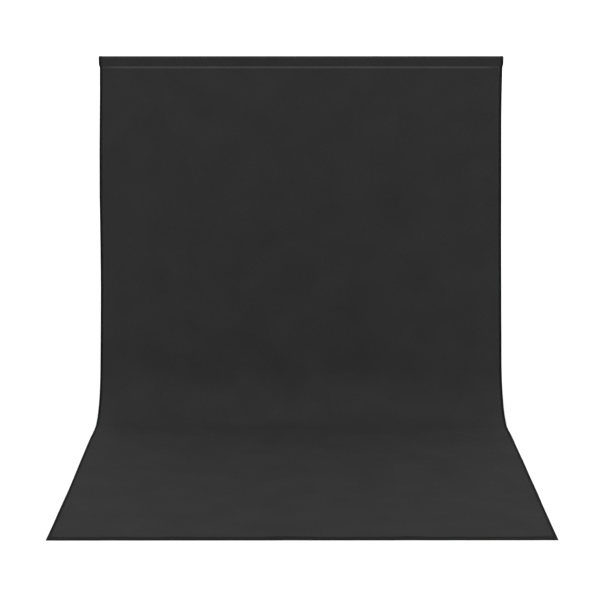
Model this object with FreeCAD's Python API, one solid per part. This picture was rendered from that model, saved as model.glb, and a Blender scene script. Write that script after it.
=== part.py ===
"""Black cloth photo backdrop with a sewn rod pocket, hung on a sectional crossbar.

Frame: +Z up, X across the width, the front faces -Y. The origin is on the floor, at the
centre of the whole object's box. Millimetres.

The cloth is described by one line, its back face, in the Y-Z plane. The line starts at the
pocket seam, hangs with a slight lean, bends forward in a long gentle arc, turns onto the
floor in a tighter sweep and runs flat to the front hem. Every cloth piece is a strip
between two distances along that line and between two heights proud of it.
"""
import FreeCAD, Part
import math
import os

V = FreeCAD.Vector

# Overall
OVERALL_DEPTH = 3600.0
OVERALL_HEIGHT = 2696.0
FLOOR_WIDTH = 3050.0
DROP_TOP_WIDTH = 3020.0
POCKET_WIDTH = 3032.0
CLOTH = 1.0

# Line of the hanging cloth
LEAN = math.radians(1.7)
BELLY_RADIUS = 6000.0
BELLY_TURN = math.radians(12.0)
SWEEP_RADIUS = 460.0

# Crossbar
TUBE_RADIUS = 12.5
TUBE_WALL = 1.2
SECTION_COUNT = 4
SECTION_LENGTH = 753.0
COLLAR_LENGTH = 4.0
CAP_FLANGE = 3.0

# Couplings and end caps
PLUG_LENGTH = 45.0
CAP_PLUG_LENGTH = 32.0
SPIGOT_LENGTH = 60.0
PLUG_CLEARANCE = 0.03
SPIGOT_CLEARANCE = 0.05
CORE_RADIUS = 9.6
RIB_WIDTH = 2.4
RIB_COUNT = 4
NOSE_LENGTH = 8.0
NOSE_RADIUS = 10.2
FINGER_BORE_RADIUS = 7.6
FINGER_SLOT_WIDTH = 1.8
FINGER_SLOT_LENGTH = 38.0
SOCKET_RADIUS = 8.0
SOCKET_DEPTH = 28.0
PIN_RADIUS = 1.6
PIN_SEAT_RADIUS = 8.4
PIN_INSET = 15.0
PIN_SUNK = 0.1
CAP_CHAMFER = 0.8

# Pocket
POCKET_CLEARANCE = 0.3
SEAM_DROP = 72.0
POCKET_LIP = 14.0
MOUTH_TAPER_START = 45.0
WELT_ABOVE = 10.0
WELT_BELOW = 8.0
WELT_PROUD = 2.4
WELT_BEVEL = 4.0

# Hems, thread and label
SIDE_HEM = 18.0
BOTTOM_HEM = 75.0
HEM_LAYER = 1.0
THREAD_WIDTH = 0.8
THREAD_PROUD = 0.4
HEM_THREAD_INSET = 15.0
BARTACK_LENGTH = 12.0
BARTACK_WIDTH = 3.0
LABEL_WIDTH = 30.0
LABEL_LENGTH = 55.0
LABEL_THICKNESS = 0.5
LABEL_DISTANCE = 800.0
LABEL_INSET = 40.0

# Derived places
TUBE_BORE = TUBE_RADIUS - TUBE_WALL
POCKET_INNER = TUBE_RADIUS + POCKET_CLEARANCE
POCKET_OUTER = POCKET_INNER + CLOTH
BAR_Y = OVERALL_DEPTH / 2 - POCKET_OUTER
BAR_Z = OVERALL_HEIGHT - POCKET_OUTER
SEAM_Z = BAR_Z - SEAM_DROP
SWEEP_START = LEAN + BELLY_TURN
BELLY_HEIGHT = BELLY_RADIUS * (math.sin(SWEEP_START) - math.sin(LEAN))
SWEEP_HEIGHT = SWEEP_RADIUS * (1 - math.sin(SWEEP_START))
STRAIGHT_LENGTH = (SEAM_Z - BELLY_HEIGHT - SWEEP_HEIGHT) / math.cos(LEAN)
DROP_LENGTH = STRAIGHT_LENGTH + BELLY_RADIUS * BELLY_TURN
SWEEP_LENGTH = SWEEP_RADIUS * (math.pi / 2 - SWEEP_START)
SWEEP_END_Y = (BAR_Y - STRAIGHT_LENGTH * math.sin(LEAN)
               - BELLY_RADIUS * (math.cos(LEAN) - math.cos(SWEEP_START))
               - SWEEP_RADIUS * math.cos(SWEEP_START))
FLOOR_LENGTH = SWEEP_END_Y + OVERALL_DEPTH / 2
SWEEP_END = DROP_LENGTH + SWEEP_LENGTH
CLOTH_END = SWEEP_END + FLOOR_LENGTH
BAR_HALF = (SECTION_COUNT * SECTION_LENGTH + (SECTION_COUNT - 1) * COLLAR_LENGTH) / 2
SLACK = 2.0

# Stretches of the cloth's line, from the seam to the front hem: length, then radius of the
# back face, or None where the stretch is straight.
STRETCHES = (
    (STRAIGHT_LENGTH, None),
    (BELLY_RADIUS * BELLY_TURN, BELLY_RADIUS),
    (SWEEP_LENGTH, SWEEP_RADIUS),
    (FLOOR_LENGTH, None),
)


def export(shape, name):
    """Write one node and print its size."""
    box = shape.BoundBox
    text = "%-20s solids %2d volume %12.1f mm3  x %8.1f %8.1f  y %8.1f %8.1f  z %8.1f %8.1f"
    ends = (box.XMin, box.XMax, box.YMin, box.YMax, box.ZMin, box.ZMax)
    print(text % ((name, len(shape.Solids), shape.Volume) + ends))
    shape.exportStep(os.path.join("parts", name + ".step"))


# The cloth's line

def walk(distance):
    """Back-face point and heading, 0 straight down to 90 degrees forward, along the line."""
    y, z, heading = BAR_Y, SEAM_Z, LEAN
    for length, radius in STRETCHES:
        step = min(distance, length)
        if radius is None:
            y -= step * math.sin(heading)
            z -= step * math.cos(heading)
        else:
            turned = heading + step / radius
            y -= radius * (math.cos(heading) - math.cos(turned))
            z -= radius * (math.sin(turned) - math.sin(heading))
            heading = turned
        distance -= step
        if distance <= 0:
            break
    return y, z, heading


def cloth_point(distance, proud):
    """Point at a distance along the line, a height proud of the back face."""
    y, z, heading = walk(distance)
    return V(0, y - proud * math.cos(heading), z + proud * math.sin(heading))


def cloth_edges(start, end, proud):
    """Straight and round edges along the line between two distances."""
    edges = []
    passed = 0.0
    for length, radius in STRETCHES:
        low = start if passed == 0 else max(start, passed)
        high = min(end, passed + length)
        passed += length
        if high <= low:
            continue
        first, last = cloth_point(low, proud), cloth_point(high, proud)
        if radius is None:
            edges.append(Part.LineSegment(first, last).toShape())
        else:
            middle = cloth_point((low + high) / 2, proud)
            edges.append(Part.Arc(first, middle, last).toShape())
    return edges


def line(first, last):
    return Part.LineSegment(first, last).toShape()


def prism(edges, x_low, x_high):
    """Solid from a closed outline in the Y-Z plane, between two X values."""
    face = Part.Face(Part.Wire(Part.__sortEdges__(edges)))
    face.translate(V(x_low, 0, 0))
    return face.extrude(V(x_high - x_low, 0, 0))


def cloth_strip(start, end, low, high, x_low, x_high):
    """Strip of cloth between two distances, two heights and two X values."""
    edges = cloth_edges(start, end, low) + cloth_edges(start, end, high)
    edges.append(line(cloth_point(start, low), cloth_point(start, high)))
    edges.append(line(cloth_point(end, low), cloth_point(end, high)))
    return prism(edges, x_low, x_high)


def half_width(z):
    """Half the cloth's width at a height: it draws in towards the pocket."""
    share = z / SEAM_Z
    return FLOOR_WIDTH / 2 + share * (DROP_TOP_WIDTH - FLOOR_WIDTH) / 2


def outline(points):
    """Block through the whole depth from a front-view outline of (x, z) points."""
    corners = [V(x, -OVERALL_DEPTH, z) for x, z in points]
    face = Part.Face(Part.makePolygon(corners + corners[:1]))
    return face.extrude(V(0, 2 * OVERALL_DEPTH, 0))


def drop_outline():
    """Front view of the cloth below the seam."""
    top, bottom = half_width(SEAM_Z), half_width(-SLACK)
    return outline([(-top, SEAM_Z), (top, SEAM_Z), (bottom, -SLACK), (-bottom, -SLACK)])


def edge_outline(side, outer, inner):
    """Front view of a band along one side edge, between two insets from it."""
    top, bottom = half_width(SEAM_Z), half_width(-SLACK)
    return outline([
        (side * (top - outer), SEAM_Z),
        (side * (top - inner), SEAM_Z),
        (side * (bottom - inner), -SLACK),
        (side * (bottom - outer), -SLACK),
    ])


# Cloth pieces

def panel(start, end):
    half = FLOOR_WIDTH / 2 + SLACK
    return cloth_strip(start, end, 0, CLOTH, -half, half).common(drop_outline())


def side_hem(side):
    """Edge of the cloth turned onto its front face, from the seam to the bottom hem."""
    half = FLOOR_WIDTH / 2 + SLACK
    length = CLOTH_END - BOTTOM_HEM
    strip = cloth_strip(-SLACK, length, CLOTH, CLOTH + HEM_LAYER, -half, half)
    welt_foot = WELT_BELOW + POCKET_LIP
    above = cloth_strip(-2 * SLACK, welt_foot, 0, 3 * CLOTH, -half, half)
    return strip.common(edge_outline(side, 0, SIDE_HEM)).cut(above)


def bottom_hem():
    half = FLOOR_WIDTH / 2
    start = CLOTH_END - BOTTOM_HEM
    return cloth_strip(start, CLOTH_END, CLOTH, CLOTH + HEM_LAYER, -half, half)


def hem_stitching():
    """Thread lines along the inner edges of the side hems and the bottom hem."""
    half = FLOOR_WIDTH / 2 + SLACK
    low = CLOTH + HEM_LAYER
    high = low + THREAD_PROUD
    start = WELT_BELOW + POCKET_LIP + SLACK
    end = CLOTH_END - BOTTOM_HEM - SLACK
    run = cloth_strip(start, end, low, high, -half, half)
    inner = HEM_THREAD_INSET + THREAD_WIDTH
    rows = [run.common(edge_outline(side, HEM_THREAD_INSET, inner)) for side in (-1, 1)]
    front = CLOTH_END - BOTTOM_HEM + SLACK
    half = FLOOR_WIDTH / 2 - SLACK
    rows.append(cloth_strip(front, front + THREAD_WIDTH, low, high, -half, half))
    return Part.makeCompound(rows)


# Rod pocket

def pocket_slope():
    """Angle from the vertical of the walls that run from the bar down to the seam."""
    reach = math.hypot(SEAM_DROP, CLOTH)
    return math.asin(POCKET_OUTER / reach) - math.atan2(CLOTH, SEAM_DROP)


def teardrop(radius, foot):
    """Closed outline: round over the bar, straight down to a foot on each side."""
    slope = pocket_slope()
    centre = V(0, BAR_Y, BAR_Z)
    front = centre + V(0, -radius * math.cos(slope), -radius * math.sin(slope))
    back = centre + V(0, radius * math.cos(slope), -radius * math.sin(slope))
    top = centre + V(0, 0, radius)
    foot_z = BAR_Z - radius / math.sin(slope) if foot == 0 else SEAM_Z
    front_foot = V(0, BAR_Y - foot, foot_z)
    back_foot = V(0, BAR_Y + foot, foot_z)
    edges = [Part.Arc(front, top, back).toShape(), line(front, front_foot), line(back, back_foot)]
    if foot:
        edges.append(line(front_foot, back_foot))
    return edges


def wall_point(below, proud):
    """Point on the pocket's front wall, a height below the bar's axis."""
    slope = pocket_slope()
    y = BAR_Y - CLOTH - (SEAM_DROP - below) * math.tan(slope)
    return V(0, y - proud * math.cos(slope), BAR_Z - below - proud * math.sin(slope))


def rod_pocket():
    """Loop of cloth over the bar, closed at the seam, with its turned edge below it."""
    half = POCKET_WIDTH / 2
    loop = prism(teardrop(POCKET_OUTER, CLOTH), -half, half)
    loop = loop.cut(prism(teardrop(POCKET_INNER, 0), -half - SLACK, half + SLACK))
    lip = cloth_strip(-SLACK, POCKET_LIP, -CLOTH, 0, -half, half).common(drop_outline())
    taper_z = BAR_Z - MOUTH_TAPER_START
    foot = half_width(SEAM_Z)
    low_z = SEAM_Z - 2 * POCKET_LIP
    mouth = outline([
        (-half, OVERALL_HEIGHT + SLACK), (half, OVERALL_HEIGHT + SLACK), (half, taper_z),
        (foot, SEAM_Z), (foot, low_z), (-foot, low_z), (-foot, SEAM_Z), (-half, taper_z),
    ])
    return loop.fuse(lip).common(mouth).removeSplitter()


def seam_welt():
    """Folded, top-stitched ridge that lies over the seam on the front, bevelled above."""
    half = half_width(SEAM_Z)
    corners = [
        wall_point(SEAM_DROP - WELT_ABOVE, 0),
        cloth_point(math.tan(LEAN) * CLOTH, CLOTH),
        cloth_point(WELT_BELOW, CLOTH),
        cloth_point(WELT_BELOW, CLOTH + WELT_PROUD),
        cloth_point(-WELT_BEVEL, CLOTH + WELT_PROUD),
    ]
    edges = [line(corners[i - 1], corners[i]) for i in range(len(corners))]
    return prism(edges, -half, half)


def pocket_stitching():
    """One thread row above the welt, on the pocket, and one below it, on the drop."""
    half = half_width(SEAM_Z) - SLACK
    above = SEAM_DROP - WELT_ABOVE - SLACK
    corners = [
        wall_point(above, 0),
        wall_point(above - THREAD_WIDTH, 0),
        wall_point(above - THREAD_WIDTH, THREAD_PROUD),
        wall_point(above, THREAD_PROUD),
    ]
    edges = [line(corners[i - 1], corners[i]) for i in range(len(corners))]
    upper = prism(edges, -half, half)
    start = WELT_BELOW + SLACK
    end = start + THREAD_WIDTH
    lower = cloth_strip(start, end, CLOTH, CLOTH + THREAD_PROUD, -half, half)
    return Part.makeCompound([upper, lower])


def pocket_bartacks():
    """Short dense cross stitches that lock the ends of the seam."""
    start = WELT_BELOW + 3 * SLACK
    tacks = []
    for side in (-1, 1):
        x = side * (half_width(SEAM_Z) - SIDE_HEM - BARTACK_WIDTH)
        low, high = x - BARTACK_WIDTH / 2, x + BARTACK_WIDTH / 2
        top = CLOTH + THREAD_PROUD
        tacks.append(cloth_strip(start, start + BARTACK_LENGTH, CLOTH, top, low, high))
    return Part.makeCompound(tacks)


def care_label():
    """Blank woven label on the back, just inside the right-hand hem."""
    right = half_width(SEAM_Z) - LABEL_INSET
    end = LABEL_DISTANCE + LABEL_LENGTH
    return cloth_strip(LABEL_DISTANCE, end, -LABEL_THICKNESS, 0, right - LABEL_WIDTH, right)


# Crossbar pieces, modelled along +X from the given place

def rod(radius, x_low, x_high):
    return Part.makeCylinder(radius, x_high - x_low, V(x_low, BAR_Y, BAR_Z), V(1, 0, 0))


def cone(radius_low, radius_high, x_low, x_high):
    length = x_high - x_low
    return Part.makeCone(radius_low, radius_high, length, V(x_low, BAR_Y, BAR_Z), V(1, 0, 0))


def turned(shape, degrees):
    copy = shape.copy()
    copy.rotate(V(0, BAR_Y, BAR_Z), V(1, 0, 0), degrees)
    return copy


def section_start(index):
    """X of the left end of a tube section, counted from 0 at the left."""
    return -BAR_HALF + index * (SECTION_LENGTH + COLLAR_LENGTH)


def pin_pair(x, reach):
    """Two crimp pins on opposite sides of the bar, from their seats out to a radius."""
    pair = []
    for side in (-1, 1):
        base = V(x, BAR_Y + side * PIN_SEAT_RADIUS, BAR_Z)
        pair.append(Part.makeCylinder(PIN_RADIUS, reach - PIN_SEAT_RADIUS, base, V(0, side, 0)))
    return Part.makeCompound(pair)


def pin_holes(x):
    """The room that the pins take, cut right out through the tube."""
    return pin_pair(x, TUBE_RADIUS + SLACK)


def pin_x(index):
    """X of the crimp pins at the right-hand end of a section."""
    return section_start(index) + SECTION_LENGTH - PIN_INSET


def tube_section(index):
    """One length of tube, drilled for the pins that hold its coupling."""
    low = section_start(index)
    high = low + SECTION_LENGTH
    tube = rod(TUBE_RADIUS, low, high).cut(rod(TUBE_BORE, low - 1, high + 1))
    if index < SECTION_COUNT - 1:
        tube = tube.cut(pin_holes(pin_x(index)))
    return tube


def ribbed_plug(x_low, x_high):
    """Moulded plug: a round core with lengthwise ribs that grip the tube's bore."""
    grip = TUBE_BORE - PLUG_CLEARANCE
    plug = rod(CORE_RADIUS, x_low, x_high)
    rib = Part.makeBox(x_high - x_low, RIB_WIDTH, 2 * grip)
    rib.translate(V(x_low, BAR_Y - RIB_WIDTH / 2, BAR_Z - grip))
    ribs = [turned(rib, i * 360.0 / RIB_COUNT) for i in range(RIB_COUNT // 2)]
    return plug.fuse(ribs).common(rod(grip, x_low, x_high))


def spigot(x_low):
    """Push-fit spigot: round, with a tapered nose split into two springy fingers."""
    fit = TUBE_BORE - SPIGOT_CLEARANCE
    x_high = x_low + SPIGOT_LENGTH
    nose = x_high - NOSE_LENGTH
    body = rod(fit, x_low, nose).fuse(cone(fit, NOSE_RADIUS, nose, x_high))
    body = body.cut(rod(FINGER_BORE_RADIUS, x_high - FINGER_SLOT_LENGTH, x_high + 1))
    slot = Part.makeBox(FINGER_SLOT_LENGTH + 1, FINGER_SLOT_WIDTH, 4 * fit)
    slot.translate(V(x_high - FINGER_SLOT_LENGTH, BAR_Y - FINGER_SLOT_WIDTH / 2, BAR_Z - 2 * fit))
    return body.cut(slot)


def coupling(index):
    """Plug fixed in the right-hand end of a section, collar, and spigot for the next one."""
    face = section_start(index) + SECTION_LENGTH
    body = ribbed_plug(face - PLUG_LENGTH, face)
    body = body.fuse(rod(TUBE_RADIUS, face, face + COLLAR_LENGTH))
    body = body.fuse(spigot(face + COLLAR_LENGTH)).removeSplitter()
    return body.cut(pin_holes(pin_x(index)))


def end_cap(side):
    """Push-in plug with a flush flange and an axial socket for a stand's stud."""
    body = ribbed_plug(BAR_HALF - CAP_PLUG_LENGTH, BAR_HALF)
    outer = BAR_HALF + CAP_FLANGE
    flange = rod(TUBE_RADIUS, BAR_HALF, outer - CAP_CHAMFER)
    flange = flange.fuse(cone(TUBE_RADIUS, TUBE_RADIUS - CAP_CHAMFER, outer - CAP_CHAMFER, outer))
    body = body.fuse(flange).removeSplitter()
    body = body.cut(rod(SOCKET_RADIUS, outer - SOCKET_DEPTH, outer + 1))
    if side < 0:
        body = body.mirror(V(0, 0, 0), V(1, 0, 0))
    return body


def pins(x):
    """Two crimp pins, set just below the tube's surface."""
    return pin_pair(x, TUBE_RADIUS - PIN_SUNK)


def build():
    os.makedirs("parts", exist_ok=True)
    export(panel(-SLACK, DROP_LENGTH), "drop_panel")
    export(panel(DROP_LENGTH, SWEEP_END), "sweep_panel")
    export(panel(SWEEP_END, CLOTH_END), "floor_panel")
    export(rod_pocket(), "rod_pocket")
    export(seam_welt(), "pocket_seam_welt")
    export(pocket_stitching(), "pocket_stitching")
    export(pocket_bartacks(), "pocket_bartacks")
    export(side_hem(-1), "side_hem_left")
    export(side_hem(1), "side_hem_right")
    export(bottom_hem(), "bottom_hem")
    export(hem_stitching(), "hem_stitching")
    export(care_label(), "care_label")
    for index in range(SECTION_COUNT):
        export(tube_section(index), "tube_section_%d" % (index + 1))
    for index in range(SECTION_COUNT - 1):
        export(coupling(index), "coupling_%d" % (index + 1))
        export(pins(pin_x(index)), "coupling_pins_%d" % (index + 1))
    for side, name in ((-1, "left"), (1, "right")):
        export(end_cap(side), "end_cap_" + name)
    print("seam height %.1f, straight %.1f, floor run %.1f" % (SEAM_Z, STRAIGHT_LENGTH, FLOOR_LENGTH))
    print("length from seam to front hem %.1f" % CLOTH_END)


build()
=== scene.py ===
"""Looks of the black cloth backdrop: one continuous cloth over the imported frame, with its hems,
seam, stitches and label, and the finishes of the crossbar. Metres, in the frame's own axes.
"""
import math

import bmesh
import bpy
import numpy as np
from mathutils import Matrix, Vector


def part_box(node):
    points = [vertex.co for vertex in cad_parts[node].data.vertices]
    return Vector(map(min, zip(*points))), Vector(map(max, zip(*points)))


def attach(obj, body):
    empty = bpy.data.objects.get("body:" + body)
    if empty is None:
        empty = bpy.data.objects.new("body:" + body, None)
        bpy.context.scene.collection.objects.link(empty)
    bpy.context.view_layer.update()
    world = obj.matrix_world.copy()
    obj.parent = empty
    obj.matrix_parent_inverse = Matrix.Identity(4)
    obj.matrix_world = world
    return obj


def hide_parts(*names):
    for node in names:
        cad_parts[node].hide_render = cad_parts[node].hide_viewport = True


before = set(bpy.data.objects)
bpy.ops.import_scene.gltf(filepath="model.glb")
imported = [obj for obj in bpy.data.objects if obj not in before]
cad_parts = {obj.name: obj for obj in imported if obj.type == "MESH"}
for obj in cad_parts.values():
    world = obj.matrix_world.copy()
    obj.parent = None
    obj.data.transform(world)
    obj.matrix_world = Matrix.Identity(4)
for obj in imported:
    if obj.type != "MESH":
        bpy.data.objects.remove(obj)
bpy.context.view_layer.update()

# Places taken from the frame
BAR_LOW, BAR_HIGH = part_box("tube_section_2")
BAR_Y = (BAR_LOW.y + BAR_HIGH.y) / 2
BAR_Z = (BAR_LOW.z + BAR_HIGH.z) / 2
TUBE_RADIUS = (BAR_HIGH.z - BAR_LOW.z) / 2
SEAM_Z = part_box("drop_panel")[1].z
WELT_LOW, WELT_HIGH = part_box("pocket_seam_welt")
DROP_TOP_HALF = WELT_HIGH.x
POCKET_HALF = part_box("rod_pocket")[1].x
FLOOR_LOW, FLOOR_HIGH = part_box("floor_panel")
FLOOR_HALF = FLOOR_HIGH.x
FRONT_Y = FLOOR_LOW.y
BOTTOM_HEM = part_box("bottom_hem")[1].y - FRONT_Y
LABEL_LOW, LABEL_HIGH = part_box("care_label")

# The cloth's line, as the frame has it. MID is from a face of the frame's cloth to its middle
MID = 0.0005
POCKET_CLEARANCE = 0.0003
LEAN = math.radians(1.7)
BELLY_RADIUS = 6.0 - MID
BELLY_TURN = math.radians(12.0)
SWEEP_RADIUS = 0.46 - MID
POCKET_LIP = 0.014
SAMPLE = 0.002

# The cloth's width: the pocket widens from the seam to TAPER_START below the bar's middle
TAPER_START = 0.045
MOUTH_DRAWN_IN = 0.004
MOUTH_DRAWN_FROM = 0.003

# The cloth and its hems. Heights count from the middle of the cloth: TOP is its face, HEM_TOP
# the face of a hem on it, and SUNK the underside of a hem, just inside the cloth. A fold stands
# out past the cloth's edge by FOLD_ROUNDING, and its bulk is the height it gains over a side hem
CLOTH = 0.0009
TOP = CLOTH / 2
HEM_TOP = TOP + CLOTH
SUNK = TOP * 0.7
SIDE_HEM = 0.018
HEM_THREAD_INSET = 0.0154
BOTTOM_THREAD_INSET = 0.0024
THREAD_GROOVE = 0.00025
FOLD_ROUNDING = 0.0009
FOLD_POINTS = 7
WELT_RISE = 0.0024
WELT_BULK = 0.0004
BOTTOM_HEM_BULK = CLOTH * 0.8

# Small waves that the thread pulls into the folds: height and wave number
SIDE_PUCKERS = ((0.00018, 170), (0.00012, 76))
ACROSS_PUCKERS = ((0.00016, 153), (0.00012, 65))

# Spacing of the rows and columns of faces
OVER_BAR_STEP = 0.0013
BAR_BEND_BELOW = 0.004
POCKET_STEP = 0.0045
SIDE_HEM_STEP = 0.008
DROP_ROWS, SWEEP_ROWS, FLOOR_ROWS = 122, 44, 124
CLOTH_COLUMNS = 120
STRIP_COLUMNS = 380

# Camera, at the distance and height that give the photo's perspective
CAMERA_PLACE = (-0.0422, -13.339, 3.415)
CAMERA_PITCH = math.radians(9.651)
CAMERA_YAW = math.radians(0.1315)
LENS = 120.42
SENSOR = 36.0

# Light and floor
WORLD_STRENGTH = 1.35
SUN_ENERGY = 0.9
SUN_ANGLE = math.radians(60)
SUN_TURN = (math.radians(24), math.radians(-12), 0)
FLOOR_SIZE = 150.0
FLOOR_LEVEL = -0.0002

rng = np.random.default_rng(11)


# The cloth's line: samples of the middle of the cloth, from the lip behind the seam, up and
# over the bar, down to the sweep and along the floor to the front hem

SWEEP_TURN = LEAN + BELLY_TURN
BELLY_DROP = BELLY_RADIUS * (math.sin(SWEEP_TURN) - math.sin(LEAN))
SWEEP_DROP = SWEEP_RADIUS * (1 - math.sin(SWEEP_TURN))
SEAM_FRONT = (BAR_Y - MID, SEAM_Z + MID * math.sin(LEAN))
STRAIGHT = (SEAM_FRONT[1] - MID - BELLY_DROP - SWEEP_DROP) / math.cos(LEAN)
SWEEP_FROM = STRAIGHT + BELLY_RADIUS * BELLY_TURN
FLOOR_FROM = SWEEP_FROM + SWEEP_RADIUS * (math.pi / 2 - SWEEP_TURN)


def pocket_points():
    """From the end of the lip up the back wall, over the bar and down to the seam."""
    drop = BAR_Z - SEAM_Z
    radius = TUBE_RADIUS + POCKET_CLEARANCE + MID
    slope = math.asin(radius / math.hypot(drop, MID)) - math.atan2(MID, drop)
    lip = (BAR_Y + MID - POCKET_LIP * math.sin(LEAN), SEAM_Z - POCKET_LIP)
    over = [(BAR_Y + radius * math.cos(a), BAR_Z + radius * math.sin(a))
            for a in np.linspace(-slope, math.pi + slope, 40)]
    return [lip, (BAR_Y + MID, SEAM_Z), *over, SEAM_FRONT]


def hanging_points():
    """From the seam down the drop, round the sweep and along the floor."""
    y, z = SEAM_FRONT
    points = [(y, z)]
    y, z = y - STRAIGHT * math.sin(LEAN), z - STRAIGHT * math.cos(LEAN)
    arcs = ((BELLY_RADIUS, LEAN, SWEEP_TURN), (SWEEP_RADIUS, SWEEP_TURN, math.pi / 2))
    for radius, low, high in arcs:
        for turn in np.linspace(low, high, 90):
            points.append((y - radius * (math.cos(low) - math.cos(turn)),
                           z - radius * (math.sin(turn) - math.sin(low))))
        y, z = points.pop()
    return points + [(y, z), (FRONT_Y, z)]


def dense(points):
    """The same line with samples no further apart than SAMPLE."""
    out = [points[0]]
    for (y0, z0), (y1, z1) in zip(points, points[1:]):
        count = max(1, math.ceil(math.hypot(y1 - y0, z1 - z0) / SAMPLE))
        out += [(y0 + (y1 - y0) * k / count, z0 + (z1 - z0) * k / count)
                for k in range(1, count + 1)]
    return np.array(out)


def soften(line):
    """Rounds the corners of a sampled line by averaging each sample with its neighbours."""
    weights = (0.1, 0.2, 0.4, 0.2, 0.1)
    out = line.copy()
    out[2:-2] = sum(w * line[k:len(line) - 4 + k] for k, w in enumerate(weights))
    return out


# ALONG is the distance of each sample from the seam: the pocket is below 0, the drop above it
pocket_line = dense(pocket_points())
LINE = soften(np.vstack([pocket_line, dense(hanging_points())[1:]]))
ALONG = np.concatenate([[0.0], np.cumsum(np.hypot(*np.diff(LINE, axis=0).T))])
ALONG -= ALONG[len(pocket_line) - 1]
START, END = ALONG[0], ALONG[-1]
tangent = np.gradient(LINE, ALONG, axis=0)
tangent /= np.linalg.norm(tangent, axis=1)[:, None]
NORMAL = np.stack([tangent[:, 1], -tangent[:, 0]], axis=1)

# Where the label's top edge lies
HANGING = ALONG > 0
LABEL_FROM = float(np.interp(-LABEL_HIGH.z, -LINE[HANGING, 1], ALONG[HANGING]))


def ramp(value, low, high):
    """Smooth step from 0 at low to 1 at high."""
    t = np.clip((value - low) / (high - low), 0, 1)
    return t * t * (3 - 2 * t)


# Where the side edges wander from the straight cut, in millimetres outward, by distance
WANDER_AT = (0.0, 0.2, 0.4, 0.63, 0.97, 1.31, 1.66, 2.01, 2.24, 2.55, 2.76, 2.99, 3.22, 3.31,
             3.89, 4.42, 4.93, 5.39, 5.7, 5.83)
WANDER_LEFT = (-2.3, -1.1, 2.2, 5.3, 7.2, 3.6, 0.4, 0.0, -1.0, -2.2, -2.6, -4.7, -1.2, -0.7,
               -2.4, -3.4, -3.2, 0.0, 2.3, 4.3)
WANDER_RIGHT = (-0.8, -4.0, -4.9, -2.9, -0.5, 0.9, 2.0, 1.0, -1.0, -0.5, -0.6, -4.1, -0.6, 0.0,
                1.1, -0.7, -1.3, -1.8, -2.6, -1.2)


def half_width(along, side):
    """Half the cloth's width, on the left where side is negative and else on the right."""
    z = np.interp(along, ALONG, LINE[:, 1])
    hanging = FLOOR_HALF + (DROP_TOP_HALF - FLOOR_HALF) * np.clip(z / SEAM_Z, 0, 1)
    flare = ramp(z, SEAM_Z, BAR_Z - TAPER_START)
    left, right = (np.interp(along, WANDER_AT, w) / 1000 for w in (WANDER_LEFT, WANDER_RIGHT))
    wander = np.where(np.asarray(side) < 0, left, right)
    drawn_in = MOUTH_DRAWN_IN * ramp(z, BAR_Z + MOUTH_DRAWN_FROM, BAR_Z + TUBE_RADIUS)
    return hanging + (POCKET_HALF - DROP_TOP_HALF) * flare + wander - drawn_in


def stations(start, end, step):
    """Distances along the line, closer together where the cloth bends over the bar."""
    first, last = ALONG[LINE[:, 1] > BAR_Z - BAR_BEND_BELOW][[0, -1]]
    stops = [start, *(a for a in (first, last) if start < a < end), end]
    runs = []
    for low, high in zip(stops, stops[1:]):
        over_bar = first - 1e-6 < low and high < last + 1e-6
        count = math.ceil((high - low) / (OVER_BAR_STEP if over_bar else step))
        runs.append(np.linspace(low, high, count + 1)[1:])
    return np.concatenate([[start], *runs])


def across_at(share, along):
    """X at a share of the way from the middle of the cloth to its side edge."""
    return share * half_width(along, share)


# Soft shape of the cloth: how far its surface stands off the line

def waves(count, shortest, longest, slant):
    """Wave numbers, phases and slants of a smooth, repeatable unevenness."""
    lengths = rng.uniform(shortest, longest, count)
    return list(zip(2 * math.pi / lengths, rng.uniform(0, 2 * math.pi, count),
                    rng.uniform(-slant, slant, count)))


FLUTES = waves(7, 0.26, 0.75, 0.45)
BUCKLES = waves(9, 0.16, 0.5, 9.0)
RIPPLES = waves(8, 0.25, 0.9, 7.0)
FLUTE_DEPTH = 0.0011
BUCKLE_DEPTH = 0.0011
RIPPLE_DEPTH = 0.0008
EDGE_LIFT = 0.0012
EDGE_LIFT_REACH = 0.09


def rolling(parts, x, along):
    """Sum of slanted waves at a place on the cloth."""
    return sum(np.sin(k * x + p + s * along) for k, p, s in parts)


def unevenness(x, along):
    """Shallow flutes down the drop, buckles in the sweep, low ripples on the floor.

    On the floor the cloth only rises, so that it never sinks into it.
    """
    hanging = ramp(along, 0.02, 0.5) * (1 - ramp(along, SWEEP_FROM - 0.3, FLOOR_FROM))
    turning = ramp(along, SWEEP_FROM - 0.2, SWEEP_FROM + 0.3)
    turning = turning * (1 - ramp(along, FLOOR_FROM + 0.05, FLOOR_FROM + 0.6))
    lying = ramp(along, FLOOR_FROM, FLOOR_FROM + 0.5)
    grounded = ramp(along, SWEEP_FROM + 0.1, FLOOR_FROM)
    buckled = BUCKLE_DEPTH * turning * rolling(BUCKLES, x, along)
    rippled = RIPPLE_DEPTH * lying * np.maximum(rolling(RIPPLES, x, along), 0)
    wave = 1 + np.sin(6.1 * along + 1.3 * np.sign(x)) * np.sin(2.3 * along)
    edge = EDGE_LIFT * lying * wave * ramp(np.abs(x), FLOOR_HALF - EDGE_LIFT_REACH, FLOOR_HALF)
    off = FLUTE_DEPTH * hanging * rolling(FLUTES, x, along)
    return off + buckled * (1 - grounded) + np.abs(buckled) * grounded + rippled + edge


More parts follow.
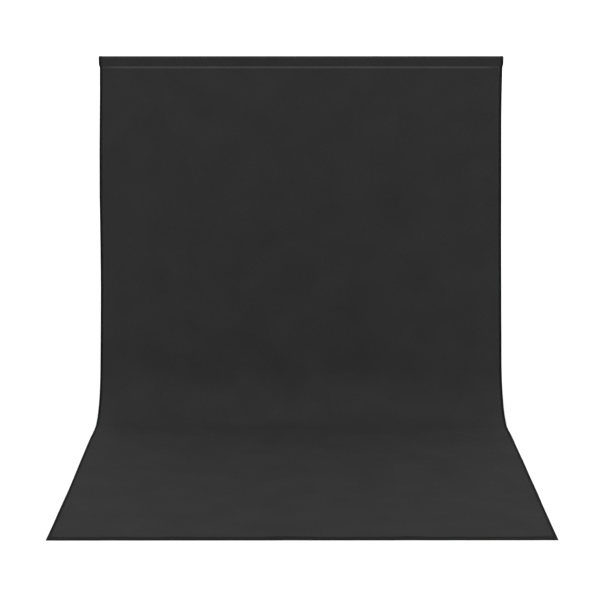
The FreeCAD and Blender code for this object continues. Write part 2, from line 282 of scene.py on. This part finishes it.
def surface(x, along, proud):
    """Points on the cloth: across, along its line, and proud of the middle of the cloth."""
    x, along, proud = np.broadcast_arrays(x, along, proud)
    off = proud + unevenness(x, along)
    y = np.interp(along, ALONG, LINE[:, 0]) + off * np.interp(along, ALONG, NORMAL[:, 0])
    z = np.interp(along, ALONG, LINE[:, 1]) + off * np.interp(along, ALONG, NORMAL[:, 1])
    return np.stack([x, y, z], axis=-1)


# Mesh helpers

def add_piece(name, points, faces, uv, finish, nodes):
    """A closed mesh that rides on the cloth, with its flat cloth coordinates in metres."""
    mesh = bpy.data.meshes.new(name)
    mesh.from_pydata(points.reshape(-1, 3).tolist(), [], faces)
    layer = mesh.uv_layers.new(name="cloth_metres")
    corners = np.empty(len(mesh.loops), dtype=np.int32)
    mesh.loops.foreach_get("vertex_index", corners)
    layer.data.foreach_set("uv", uv.reshape(-1, 2)[corners].ravel())
    edit = bmesh.new()
    edit.from_mesh(mesh)
    bmesh.ops.recalc_face_normals(edit, faces=edit.faces)
    edit.to_mesh(mesh)
    edit.free()
    mesh.polygons.foreach_set("use_smooth", [True] * len(mesh.polygons))
    mesh.materials.append(finish)
    piece = bpy.data.objects.new(name, mesh)
    bpy.context.scene.collection.objects.link(piece)
    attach(piece, "cloth")
    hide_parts(*nodes)
    return piece


def tube_faces(rows, ring):
    """Faces round a run of closed rings, with a face on each end."""
    faces = []
    for r in range(rows - 1):
        for c in range(ring):
            a, b = r * ring + c, r * ring + (c + 1) % ring
            faces.append((a, b, b + ring, a + ring))
    last = (rows - 1) * ring
    return faces + [tuple(range(ring)), tuple(range(last, last + ring))]


def slab_faces(rows, columns):
    """Faces of a thin slab: a grid of points, the same grid again under it, and the rim."""
    count = rows * columns
    faces = []
    for r in range(rows - 1):
        for c in range(columns - 1):
            a = r * columns + c
            quad = (a, a + 1, a + columns + 1, a + columns)
            faces += [quad, tuple(v + count for v in quad[::-1])]
    rim = [r * columns for r in range(rows)]
    rim += [(rows - 1) * columns + c for c in range(1, columns)]
    rim += [r * columns + columns - 1 for r in range(rows - 2, -1, -1)]
    rim += list(range(columns - 2, 0, -1))
    return faces + [(a, b, b + count, a + count) for a, b in zip(rim, rim[1:] + rim[:1])]


def add_slab(name, x, along, upper, lower, finish, nodes):
    """A sheet over a grid of places on the cloth, between two heights."""
    points = np.concatenate([surface(x, along, upper), surface(x, along, lower)])
    uv = np.stack([x, along], axis=-1)
    return add_piece(name, points, slab_faces(*x.shape), np.concatenate([uv, uv]), finish, nodes)


def make_cloth(finish):
    """The whole backdrop as one closed sheet: two faces and the rim between them."""
    along = np.concatenate([stations(START, 0, POCKET_STEP),
                            np.linspace(0, SWEEP_FROM, DROP_ROWS)[1:],
                            np.linspace(SWEEP_FROM, FLOOR_FROM, SWEEP_ROWS)[1:],
                            np.linspace(FLOOR_FROM, END, FLOOR_ROWS)[1:]])
    x = across_at(np.linspace(-1, 1, CLOTH_COLUMNS)[None, :], along[:, None])
    down = np.repeat(along[:, None], CLOTH_COLUMNS, axis=1)
    return add_slab("whole_cloth", x, down, TOP, -TOP, finish,
                    ("drop_panel", "sweep_panel", "floor_panel", "rod_pocket"))


def strip_along(name, side, start, end, section, finish, node):
    """A band that follows one side edge: section is its outline as (inset, proud) points."""
    along = stations(start, end, SIDE_HEM_STEP)
    inset, proud = np.array(section).T
    (fine, close), (broad, wide) = SIDE_PUCKERS
    pucker = fine * np.sin(along * close + side) + broad * np.sin(along * wide)
    x = side * (half_width(along, side)[:, None] - inset[None, :])
    rise = proud[None, :] + pucker[:, None] * (proud > CLOTH)[None, :]
    down = np.repeat(along[:, None], len(inset), axis=1)
    return add_piece(name, surface(x, down, rise), tube_faces(*x.shape),
                     np.stack([x, down], axis=-1), finish, (node,))


def strip_across(name, section, bulk, finish, node):
    """A band that runs across the cloth: section is its outline as (along, proud) points.

    It stands up by bulk more where it crosses the side hems.
    """
    share = np.linspace(-1, 1, STRIP_COLUMNS)
    along, proud = np.array(section).T
    half = half_width(along[0], 1)
    x = share * half
    (fine, close), (broad, wide) = ACROSS_PUCKERS
    rise = fine * np.sin(x * close) + broad * np.sin(x * wide)
    rise += bulk * ramp(np.abs(x), half - SIDE_HEM - 0.003, half - SIDE_HEM + 0.001)
    proud = proud[None, :] + rise[:, None] * (proud > CLOTH)[None, :]
    across = across_at(share[:, None], along[None, :])
    down = np.repeat(along[None, :], len(x), axis=0)
    return add_piece(name, surface(across, down, proud), tube_faces(*across.shape),
                     np.stack([across, down], axis=-1), finish, (node,))


def folded_edge():
    """Half round of a folded edge, from under the cloth's edge to the top of the hem."""
    middle, radius = (HEM_TOP - TOP) / 2, (HEM_TOP + TOP) / 2
    return [(-FOLD_ROUNDING * math.cos(a), middle + radius * math.sin(a))
            for a in np.linspace(-math.pi / 2, math.pi / 2, FOLD_POINTS)]


def make_side_hem(name, side, finish, node):
    """Folded hem along one side edge, drawn down along its row of thread."""
    section = [(SIDE_HEM, SUNK), (0.001, SUNK), *folded_edge(),
               (0.004, HEM_TOP + 0.0001), (0.010, HEM_TOP + 0.0002),
               (HEM_THREAD_INSET - 0.0014, HEM_TOP), (HEM_THREAD_INSET, HEM_TOP - THREAD_GROOVE),
               (HEM_THREAD_INSET + 0.001, HEM_TOP), (SIDE_HEM - 0.0004, HEM_TOP * 0.9)]
    end = END - BOTTOM_HEM - 0.0005
    return strip_along(name, side, START + 0.001, end, section, finish, node)


def make_bottom_hem(finish):
    """Folded hem along the front edge, with its row of thread near the inner edge."""
    first = END - BOTTOM_HEM
    row = first + BOTTOM_THREAD_INSET
    section = [(first, SUNK), (first + 0.0004, HEM_TOP * 0.9), (row - 0.001, HEM_TOP),
               (row, HEM_TOP - THREAD_GROOVE), (row + 0.0014, HEM_TOP),
               (first + 0.02, HEM_TOP + 0.0003), (first + 0.05, HEM_TOP + 0.0002),
               (END - 0.004, HEM_TOP + 0.0001)]
    section += [(END - inset, proud) for inset, proud in folded_edge()[::-1]]
    section += [(END - 0.001, SUNK)]
    return strip_across("bottom_hem_fold", section, BOTTOM_HEM_BULK, finish, "bottom_hem")


def make_welt(finish):
    """The folded ridge over the pocket's seam."""
    above, below = WELT_HIGH.z - SEAM_Z, SEAM_Z - WELT_LOW.z
    rise = TOP + WELT_RISE
    section = [(-above, TOP * 0.6), (-above * 0.8, TOP + 0.0009), (-above * 0.45, rise - 0.0003),
               (-above * 0.1, rise + 0.0001), (below * 0.5, rise), (below * 0.85, rise - 0.0004),
               (below, TOP + 0.0012), (below, TOP * 0.6)]
    return strip_across("pocket_seam_fold", section, WELT_BULK, finish, "pocket_seam_welt")


# Stitches. STITCH_SHAPE is in shares: of the stitch's length, of half the thread's thickness
# sideways, and of 0.6 of that thickness in height

STITCH_PITCH = 0.004
STITCH_LENGTH = 0.0032
TACK_PITCH = 0.00045
TACK_LENGTH = 0.003
THREAD = 0.0004
STITCH_SHAPE = np.array([(-0.5, 0, -0.5), (-0.3, 1, 0), (-0.3, 0, 1), (-0.3, -1, 0),
                         (-0.3, 0, -0.5), (0.3, 1, 0), (0.3, 0, 1), (0.3, -1, 0),
                         (0.3, 0, -0.5), (0.5, 0, -0.5)])
STITCH_FACES = [(0, 1, 2), (0, 2, 3), (0, 3, 4), (0, 4, 1), (1, 5, 6, 2), (2, 6, 7, 3),
                (3, 7, 8, 4), (4, 8, 5, 1), (9, 6, 5), (9, 7, 6), (9, 8, 7), (9, 5, 8)]


def stitches(x, along, proud, across, length=STITCH_LENGTH, slant=0.08, face=1):
    """A row of stitches: each a short thread that dips into the cloth at both ends.

    They lie on the cloth's face, or on its back where face is -1.
    """
    lengthwise = STITCH_SHAPE[:, 0] * length
    sideways = STITCH_SHAPE[:, 1] * THREAD * 0.5
    height = STITCH_SHAPE[:, 2] * THREAD * 0.6
    x, along = np.broadcast_arrays(x, along)
    tilt = slant * np.sin(np.arange(len(x)) * 2.4)[:, None] * lengthwise[None, :]
    if across:
        px, pa = x[:, None] + lengthwise, along[:, None] + sideways + tilt
    else:
        px, pa = x[:, None] + sideways + tilt, along[:, None] + lengthwise
    points = surface(px, pa, face * (proud + height[None, :]))
    return points, np.stack([px, pa], axis=-1)


def add_stitches(name, rows, finish, node):
    """One piece from all rows of stitches that share a thread."""
    points = np.concatenate([row[0].reshape(-1, 3) for row in rows])
    uv = np.concatenate([row[1].reshape(-1, 2) for row in rows])
    faces = [tuple(v + first for v in face)
             for first in range(0, len(points), len(STITCH_SHAPE)) for face in STITCH_FACES]
    return add_piece(name, points, faces, uv, finish, (node,))


def make_hem_stitches(finish):
    """Rows along both side hems, on the face and the back, the bottom hem and the label.

    The rows on the face leave out the seam's ridge.
    """
    on_hem = HEM_TOP - 0.0001
    rows = []
    for side in (-1, 1):
        for start, end in ((START + 0.004, -0.0125), (0.0105, END - BOTTOM_HEM - 0.002)):
            along = np.arange(start, end, STITCH_PITCH)
            x = side * (half_width(along, side) - HEM_THREAD_INSET)
            rows.append(stitches(x, along, on_hem, False))
        along = np.arange(POCKET_LIP + 0.002, FLOOR_FROM - 0.05, STITCH_PITCH)
        x = side * (half_width(along, side) - HEM_THREAD_INSET)
        rows.append(stitches(x, along, TOP, False, face=-1))
    x = np.arange(-FLOOR_HALF + SIDE_HEM + 0.004, FLOOR_HALF - SIDE_HEM - 0.004, STITCH_PITCH)
    rows.append(stitches(x, END - BOTTOM_HEM + BOTTOM_THREAD_INSET, on_hem, True))
    x = np.arange(LABEL_LOW.x + 0.003, LABEL_HIGH.x - 0.001, STITCH_PITCH)
    rows.append(stitches(x, LABEL_FROM + 0.004, TOP + 0.0004, True, face=-1))
    return add_stitches("hem_stitches", rows, finish, "hem_stitching")


def make_pocket_stitches(finish):
    """Rows above and below the seam's ridge, and the one on the lip behind it."""
    half = DROP_TOP_HALF - SIDE_HEM - 0.004
    x = np.arange(-half, half, STITCH_PITCH)
    above = -(WELT_HIGH.z - SEAM_Z) - 0.0018
    below = SEAM_Z - WELT_LOW.z + 0.0018
    behind = START + POCKET_LIP - below
    rows = [stitches(x, place, TOP, True) for place in (above, below, behind)]
    return add_stitches("pocket_stitches", rows, finish, "pocket_stitching")


def make_bartacks(finish):
    """Dense short stitches that lock both ends of the seam."""
    low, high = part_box("pocket_bartacks")
    along = np.arange(SEAM_Z - high.z, SEAM_Z - low.z, TACK_PITCH)
    rows = [stitches(np.full(len(along), side * (high.x - TACK_LENGTH / 2)), along, TOP, True,
                     TACK_LENGTH, 0.2)
            for side in (-1, 1)]
    return add_stitches("pocket_lock_stitches", rows, finish, "pocket_bartacks")


LABEL_THICKNESS = 0.0003
LABEL_LIFT = 0.0022
LABEL_SEWN = 0.008


def make_label(finish):
    """Small blank woven label on the back, sewn on along its top, its free end lifting."""
    length = LABEL_HIGH.z - LABEL_LOW.z
    x = np.linspace(LABEL_LOW.x, LABEL_HIGH.x, 12)
    across, reach = np.meshgrid(x, np.linspace(0, length, 24))
    bow = ((across - x.mean()) / (x[-1] - x[0]) * 2) ** 2
    lift = LABEL_LIFT * ramp(reach, LABEL_SEWN, length) ** 1.5 * (0.6 + 0.4 * bow)
    upper = -TOP - 0.00005 - lift
    return add_slab("blank_label", across, LABEL_FROM + reach, upper, upper - LABEL_THICKNESS,
                    finish, ("care_label",))


# Finishes. Lengths are in metres and a noise's scale is in features per metre

WEAVE_PITCH = 0.00055
LABEL_WEAVE_PITCH = 0.00028
THREAD_TWIST = 9000
CLOTH_TONE = 0.0205
# Painted shade: the bottom hem's fold is given a darker tone than the cloth
BOTTOM_HEM_PAINTED_SHADE_TONE = 0.0085
# Painted shade: the side hems' curled edges are given a darker tone than the bottom hem
SIDE_HEM_PAINTED_SHADE_TONE = 0.0062
# Painted highlight: the seam's ridge is given a paler tone than the cloth, as if lit from above
SEAM_PAINTED_HIGHLIGHT_TONE = 0.0385

# The gathers' reach to either side of the thread rows, and how the seam's painted highlight
# fades towards its ends and, over the side hems, down to their painted shade
SIDE_GATHERS = 0.03
SEAM_GATHERS = 0.06
HEM_GATHERS = 0.04
SEAM_HIGHLIGHT_END_SHARE = 0.74
SEAM_HIGHLIGHT_END_FADE = (0.13, 0.07)
SEAM_HIGHLIGHT_OVER_HEM_SHARE = 0.25


def new_finish(name):
    """A material of one Principled shader, with its node tree and the shader."""
    finish = bpy.data.materials.new(name + "_look")
    finish.use_nodes = True
    tree = finish.node_tree
    tree.nodes.clear()
    out = tree.nodes.new("ShaderNodeOutputMaterial")
    shader = tree.nodes.new("ShaderNodeBsdfPrincipled")
    tree.links.new(shader.outputs[0], out.inputs[0])
    return finish, tree, shader


def put(tree, node, inputs):
    """Links a node's inputs to sockets, or sets them to plain values."""
    for key, value in inputs.items():
        if isinstance(value, bpy.types.NodeSocket):
            tree.links.new(value, node.inputs[key])
        else:
            node.inputs[key].default_value = value


def add(tree, kind, inputs, **settings):
    """A new node's outputs."""
    node = tree.nodes.new("ShaderNode" + kind)
    for key, value in settings.items():
        setattr(node, key, value)
    put(tree, node, inputs)
    return node.outputs


def calc(tree, operation, *values):
    return add(tree, "Math", dict(enumerate(values)), operation=operation)[0]


def stretched(tree, vector, factors):
    return add(tree, "VectorMath", {0: vector, 1: factors}, operation="MULTIPLY")[0]


def noise(tree, vector, scale, detail=3.0, rough=0.5):
    inputs = {"Vector": vector, "Scale": scale, "Detail": detail, "Roughness": rough}
    return add(tree, "TexNoise", inputs)[0]


def between(tree, value, low, high, from_low=0.3, from_high=0.7):
    """A value from one range carried over to another; the usual range is a noise's."""
    inputs = {"Value": value, "From Min": from_low, "From Max": from_high,
              "To Min": low, "To Max": high}
    return add(tree, "MapRange", inputs)[0]


def tinted(tree, tint, value):
    return add(tree, "VectorMath", {0: tint, "Scale": value}, operation="SCALE")[0]


def bump(tree, height, distance, strength=1.0, normal=None):
    inputs = {"Height": height, "Distance": distance, "Strength": strength}
    if normal is not None:
        inputs["Normal"] = normal
    return add(tree, "Bump", inputs)[0]


def flat_cloth(tree):
    """Place on the flat cloth: across from its middle and along from the seam, in metres."""
    return add(tree, "UVMap", {}, uv_map="cloth_metres")[0]


def in_part(tree):
    """Place in the piece's own axes, in metres."""
    return add(tree, "TexCoord", {})["Object"]


def woven(tree, coordinates, pitch):
    """Height of a plain weave: threads pass over and under each other."""
    turned = stretched(tree, coordinates, (math.pi / pitch,) * 3)
    parts = add(tree, "SeparateXYZ", {0: turned})
    warp, weft = calc(tree, "SINE", parts[0]), calc(tree, "SINE", parts[1])
    return calc(tree, "MULTIPLY", warp, weft)


def fading(tree, value, middle, reach):
    """One at a value of a coordinate and nothing beyond a reach to either side of it."""
    away = calc(tree, "ABSOLUTE", calc(tree, "SUBTRACT", value, middle))
    return between(tree, away, 1.0, 0.0, 0.0, reach)


def puckered(tree, flat):
    """Height of the small gathers that stitching leaves beside the seam and the hems."""
    parts = add(tree, "SeparateXYZ", {0: flat})
    sideways = calc(tree, "ABSOLUTE", parts[0])
    edge = fading(tree, sideways, FLOOR_HALF - SIDE_HEM - 0.008, SIDE_GATHERS)
    seam = fading(tree, parts[1], 0.0, SEAM_GATHERS)
    hem = fading(tree, parts[1], END - BOTTOM_HEM, HEM_GATHERS)
    across = noise(tree, stretched(tree, flat, (85, 7, 1)), 1.0, 2.0)
    down = noise(tree, stretched(tree, flat, (7, 75, 1)), 1.0, 2.0)
    cross = calc(tree, "MULTIPLY", across, calc(tree, "MAXIMUM", seam, hem))
    return calc(tree, "ADD", cross, calc(tree, "MULTIPLY", down, edge))


def fade_painted_highlight(tree, flat, value):
    """Fades the seam's painted highlight towards its ends, and over the hems to their painted
    shade.
    """
    across = calc(tree, "ABSOLUTE", add(tree, "SeparateXYZ", {0: flat})[0])
    first, last = (DROP_TOP_HALF - inset for inset in SEAM_HIGHLIGHT_END_FADE)
    faded = between(tree, across, 1.0, SEAM_HIGHLIGHT_END_SHARE, first, last)
    inner = DROP_TOP_HALF - SIDE_HEM
    painted_hem_shade = between(tree, across, 1.0, SEAM_HIGHLIGHT_OVER_HEM_SHARE, inner - 0.004, inner + 0.002)
    return calc(tree, "MULTIPLY", calc(tree, "MULTIPLY", value, faded), painted_hem_shade)


def cloth_finish(name, tone, fades_highlight=False):
    """Dull black woven cloth: weave, uneven threads, soft dye variation and a little lint."""
    finish, tree, shader = new_finish(name)
    flat = flat_cloth(tree)
    dye = between(tree, noise(tree, flat, 3.5), 0.93, 1.07)
    warp = between(tree, noise(tree, stretched(tree, flat, (1400, 18, 1)), 1.0), 0.86, 1.14)
    weft = between(tree, noise(tree, stretched(tree, flat, (18, 1400, 1)), 1.0), 0.86, 1.14)
    weave = woven(tree, flat, WEAVE_PITCH)
    fleck = add(tree, "TexVoronoi", {"Vector": flat, "Scale": 17.0})[0]
    lint = between(tree, fleck, 1.6, 0.0, 0.004, 0.012)
    value = calc(tree, "MULTIPLY", calc(tree, "MULTIPLY", dye, warp), weft)
    value = calc(tree, "MULTIPLY", value, between(tree, weave, 0.84, 1.16, -1.0, 1.0))
    value = calc(tree, "ADD", value, lint)
    # Only for the seam: its painted highlight fades towards its ends
    if fades_highlight:
        value = fade_painted_highlight(tree, flat, value)
    soft = bump(tree, noise(tree, flat, 9.0, 2.0), 0.003, 0.6)
    gathered = bump(tree, puckered(tree, flat), 0.0022, 0.7, soft)
    put(tree, shader, {
        "Base Color": tinted(tree, (tone, tone, tone * 1.02), value),
        "Roughness": between(tree, weft, 0.86, 0.96, 0.86, 1.14),
        "Specular IOR Level": 0.05,
        "Normal": bump(tree, weave, 0.00009, 0.7, gathered),
    })
    return finish


def thread_finish(name):
    """Black twisted polyester thread."""
    finish, tree, shader = new_finish(name)
    flat = flat_cloth(tree)
    turned = stretched(tree, flat, (THREAD_TWIST, THREAD_TWIST, 1))
    parts = add(tree, "SeparateXYZ", {0: turned})
    twist = calc(tree, "SINE", calc(tree, "ADD", parts[0], parts[1]))
    shade = between(tree, noise(tree, flat, 900.0), 0.8, 1.2)
    put(tree, shader, {
        "Base Color": tinted(tree, (0.02, 0.02, 0.021), shade),
        "Roughness": between(tree, twist, 0.45, 0.6, -1.0, 1.0),
        "Sheen Weight": 0.2,
        "Normal": bump(tree, twist, 0.00004, 0.8),
    })
    return finish


def label_finish(name):
    """Blank satin tape: a fine weave with ribs across it."""
    finish, tree, shader = new_finish(name)
    flat = flat_cloth(tree)
    weave = woven(tree, flat, LABEL_WEAVE_PITCH)
    rib = noise(tree, stretched(tree, flat, (60, 2600, 1)), 1.0)
    value = calc(tree, "MULTIPLY", between(tree, weave, 0.9, 1.05, -1.0, 1.0),
                 between(tree, rib, 0.9, 1.05))
    put(tree, shader, {
        "Base Color": tinted(tree, (0.62, 0.61, 0.58), value),
        "Roughness": between(tree, rib, 0.4, 0.55),
        "Sheen Weight": 0.3,
        "Normal": bump(tree, weave, 0.00005, 0.6),
    })
    return finish


def tube_finish(name):
    """Black anodised tube: fine lengthwise draw lines, and rubbed marks where parts slide."""
    finish, tree, shader = new_finish(name)
    place = in_part(tree)
    lines = noise(tree, stretched(tree, place, (9, 2600, 2600)), 1.0, 4.0)
    patches = noise(tree, stretched(tree, place, (6, 60, 60)), 1.0, 4.0, 0.6)
    rubbed = between(tree, noise(tree, stretched(tree, place, (14, 900, 900)), 1.0, 6.0, 0.7),
                     0.0, 1.0, 0.66, 0.74)
    value = calc(tree, "ADD", between(tree, lines, 0.8, 1.2), calc(tree, "MULTIPLY", rubbed, 3.0))
    rough = calc(tree, "ADD", between(tree, lines, 0.30, 0.42), between(tree, patches, 0.0, 0.12))
    put(tree, shader, {
        "Base Color": tinted(tree, (0.022, 0.022, 0.024), value),
        "Metallic": 0.75,
        "Roughness": rough,
        "Anisotropic": 0.4,
        "Normal": bump(tree, lines, 0.00002, 0.5),
    })
    return finish


def plastic_finish(name):
    """Black moulded plastic with a fine spark grain and lightly scuffed high spots."""
    finish, tree, shader = new_finish(name)
    place = in_part(tree)
    grain = noise(tree, place, 2600.0, 2.0)
    flow = noise(tree, stretched(tree, place, (40, 160, 160)), 1.0, 3.0)
    scuff = between(tree, noise(tree, stretched(tree, place, (900, 120, 900)), 1.0, 5.0, 0.7),
                    0.0, 1.0, 0.68, 0.78)
    value = calc(tree, "ADD", between(tree, flow, 0.85, 1.15), calc(tree, "MULTIPLY", scuff, 1.6))
    put(tree, shader, {
        "Base Color": tinted(tree, (0.018, 0.018, 0.019), value),
        "Roughness": between(tree, flow, 0.48, 0.62),
        "Specular IOR Level": 0.35,
        "Normal": bump(tree, grain, 0.00003, 0.7),
    })
    return finish


def steel_finish(name):
    """Zinc-plated steel pin with small scratches."""
    finish, tree, shader = new_finish(name)
    place = in_part(tree)
    spangle = noise(tree, place, 900.0, 3.0)
    scratch = noise(tree, stretched(tree, place, (5200, 300, 5200)), 1.0, 4.0, 0.6)
    put(tree, shader, {
        "Base Color": tinted(tree, (0.60, 0.61, 0.63), between(tree, spangle, 0.85, 1.1)),
        "Metallic": 1.0,
        "Roughness": between(tree, scratch, 0.28, 0.46),
        "Normal": bump(tree, scratch, 0.00001, 0.6),
    })
    return finish


def floor_finish(name):
    """Plain pale matte studio floor."""
    finish, tree, shader = new_finish(name)
    place = in_part(tree)
    value = between(tree, noise(tree, place, 2.0), 0.99, 1.0)
    put(tree, shader, {
        "Base Color": tinted(tree, (0.82, 0.82, 0.82), value),
        "Roughness": between(tree, noise(tree, place, 40.0), 0.9, 0.96),
        "Specular IOR Level": 0.1,
    })
    return finish


FINISHES = {
    "backdrop_cloth": cloth_finish("backdrop_cloth", CLOTH_TONE),
    "hem_cloth": cloth_finish("hem_cloth", BOTTOM_HEM_PAINTED_SHADE_TONE),
    "sewing_thread": thread_finish("sewing_thread"),
    "label_cloth": label_finish("label_cloth"),
    "bar_tube": tube_finish("bar_tube"),
    "moulded_plastic": plastic_finish("moulded_plastic"),
    "pin_steel": steel_finish("pin_steel"),
}

# The side hems carry a darker painted shade than the bottom hem, and the seam's ridge carries
# a painted highlight, paler than the cloth
SIDE_HEM_PAINTED_SHADE_CLOTH = cloth_finish("hem_cloth", SIDE_HEM_PAINTED_SHADE_TONE)
SEAM_PAINTED_HIGHLIGHT_CLOTH = cloth_finish("backdrop_cloth", SEAM_PAINTED_HIGHLIGHT_TONE, fades_highlight=True)

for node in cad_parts.values():
    for index, old in enumerate(node.data.materials):
        node.data.materials[index] = FINISHES[old.name.split(".")[0]]

cloth = make_cloth(FINISHES["backdrop_cloth"])
pieces_on_cloth = [
    make_side_hem("side_hem_fold_left", -1, SIDE_HEM_PAINTED_SHADE_CLOTH, "side_hem_left"),
    make_side_hem("side_hem_fold_right", 1, SIDE_HEM_PAINTED_SHADE_CLOTH, "side_hem_right"),
    make_bottom_hem(FINISHES["hem_cloth"]),
    make_welt(SEAM_PAINTED_HIGHLIGHT_CLOTH),
    make_hem_stitches(FINISHES["sewing_thread"]),
    make_pocket_stitches(FINISHES["sewing_thread"]),
    make_bartacks(FINISHES["sewing_thread"]),
    make_label(FINISHES["label_cloth"]),
]


# Floor, light and camera

def make_floor():
    """The studio's floor, just under the cloth that lies on it."""
    mesh = bpy.data.meshes.new("studio_floor")
    corners = [(x * FLOOR_SIZE, y * FLOOR_SIZE, FLOOR_LEVEL)
               for x, y in ((-1, -1), (1, -1), (1, 1), (-1, 1))]
    mesh.from_pydata(corners, [], [(0, 1, 2, 3)])
    mesh.materials.append(floor_finish("studio_floor"))
    floor = bpy.data.objects.new("studio_floor", mesh)
    bpy.context.scene.collection.objects.link(floor)


def make_light():
    """White surroundings and a wide soft light from above."""
    world = bpy.data.worlds.new("studio")
    world.use_nodes = True
    background = world.node_tree.nodes["Background"]
    put(world.node_tree, background, {"Color": (1, 1, 1, 1), "Strength": WORLD_STRENGTH})
    bpy.context.scene.world = world
    data = bpy.data.lights.new("overhead_softbox", "SUN")
    data.energy, data.angle = SUN_ENERGY, SUN_ANGLE
    lamp = bpy.data.objects.new("overhead_softbox", data)
    lamp.rotation_euler = SUN_TURN
    bpy.context.scene.collection.objects.link(lamp)


def make_camera():
    """The camera at the photo's viewing angle."""
    data = bpy.data.cameras.new("camera")
    data.lens, data.sensor_width = LENS, SENSOR
    data.clip_start, data.clip_end = 0.05, 400
    camera = bpy.data.objects.new("camera", data)
    camera.location = CAMERA_PLACE
    camera.rotation_euler = (math.pi / 2 - CAMERA_PITCH, 0, -CAMERA_YAW)
    bpy.context.scene.collection.objects.link(camera)
    bpy.context.scene.camera = camera


make_floor()
make_light()
make_camera()
bpy.context.scene.view_settings.view_transform = "Standard"
bpy.context.scene.view_settings.look = "None"
